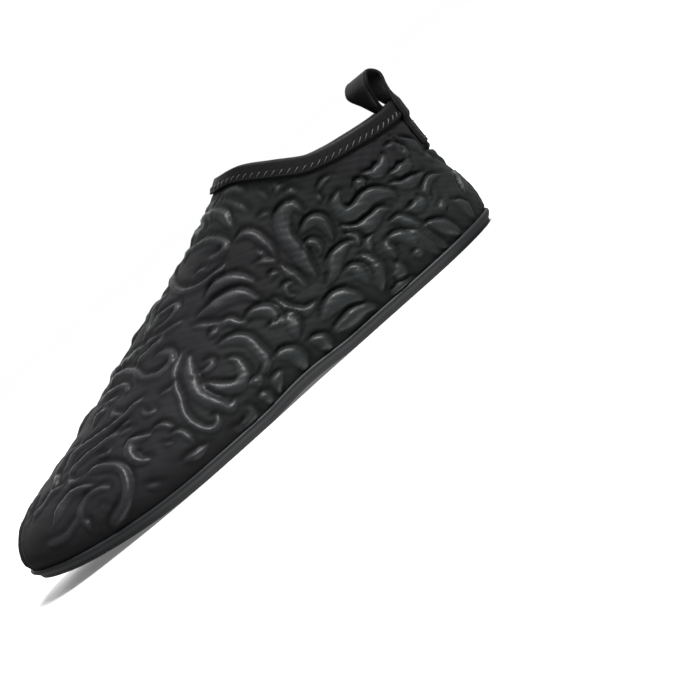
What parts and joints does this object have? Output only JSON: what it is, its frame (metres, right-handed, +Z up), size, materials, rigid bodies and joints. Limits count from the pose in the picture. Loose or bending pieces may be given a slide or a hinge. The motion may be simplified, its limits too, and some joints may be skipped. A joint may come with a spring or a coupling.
{
  "type": "water shoe",
  "caption": "Slip-on water shoe with an embossed stretch upper, bound collar, heel pull loop and a thin rubber sole with a hexagonal tread.",
  "frame": {"origin": "on the floor under the middle of the shoe's box", "axes": "+Z up, toe towards -X, heel towards +X, outer side towards -Y, inner side towards +Y"},
  "size_m": [0.2524, 0.096, 0.0898],
  "materials": {
    "sole_rubber": "satin black rubber",
    "insole_foam": "thin fabric-faced foam",
    "upper_fabric": "matte stretch fabric with a puffed relief",
    "binding_tape": "folded elastic tape",
    "loop_tape": "smooth woven tape"
  },
  "bodies": {
    "root": {"outsole": "sole_rubber", "insole": "insole_foam", "upper": "upper_fabric", "collar_binding": "binding_tape", "pull_loop": "loop_tape"}
  },
  "joints": []
}
